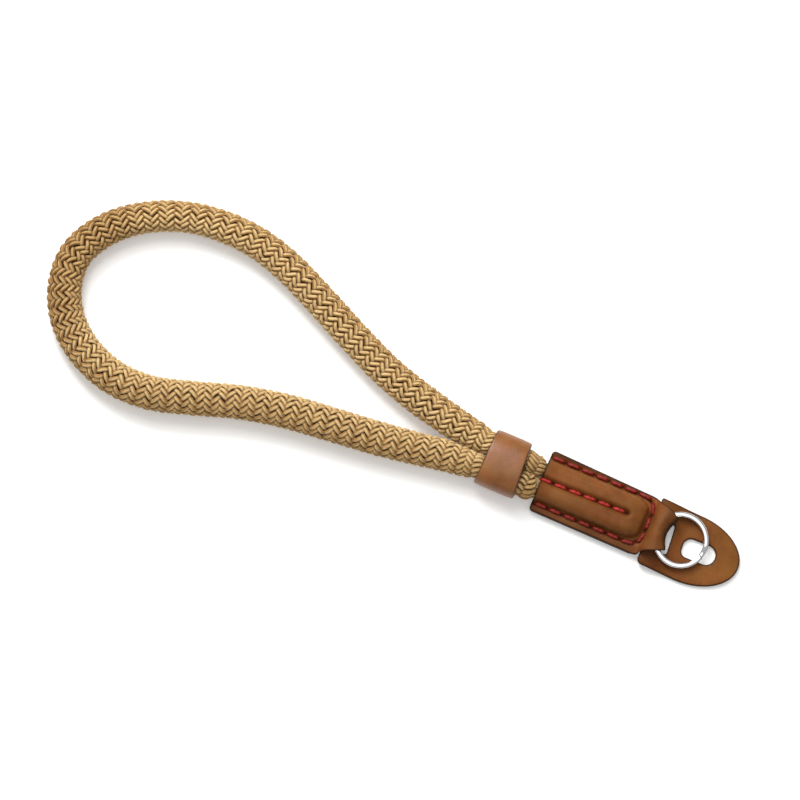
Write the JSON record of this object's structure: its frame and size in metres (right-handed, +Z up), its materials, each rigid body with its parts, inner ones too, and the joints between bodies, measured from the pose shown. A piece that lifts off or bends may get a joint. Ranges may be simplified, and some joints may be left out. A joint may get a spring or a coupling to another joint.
{
  "type": "camera wrist strap",
  "caption": "Braided rope wrist loop with a sliding leather keeper, a stitched leather end tab, a steel split ring and a leather pad that shields the camera from the ring.",
  "frame": {"origin": "on the surface that the strap lies on, below the middle of its leather end (tab, ring and pad together)", "axes": "+X along the strap from the loop to the pad's round end, +Y across it, +Z up from the surface"},
  "size_m": [0.2464, 0.072, 0.0134],
  "materials": {
    "rope": "matt braided cotton cord, sand coloured",
    "keeper_leather": "smooth semi-matt saddle leather",
    "tab_leather": "smooth semi-matt brown leather, moulded over the rope ends",
    "pad_leather": "smooth brown leather with darker cut edges",
    "ring_steel": "bright plated steel wire",
    "thread": "thick red waxed thread"
  },
  "bodies": {
    "root": {"rope_loop": "rope", "keeper_band": "keeper_leather", "end_tab": "tab_leather", "split_ring": "ring_steel", "protector_pad": "pad_leather"}
  },
  "joints": []
}
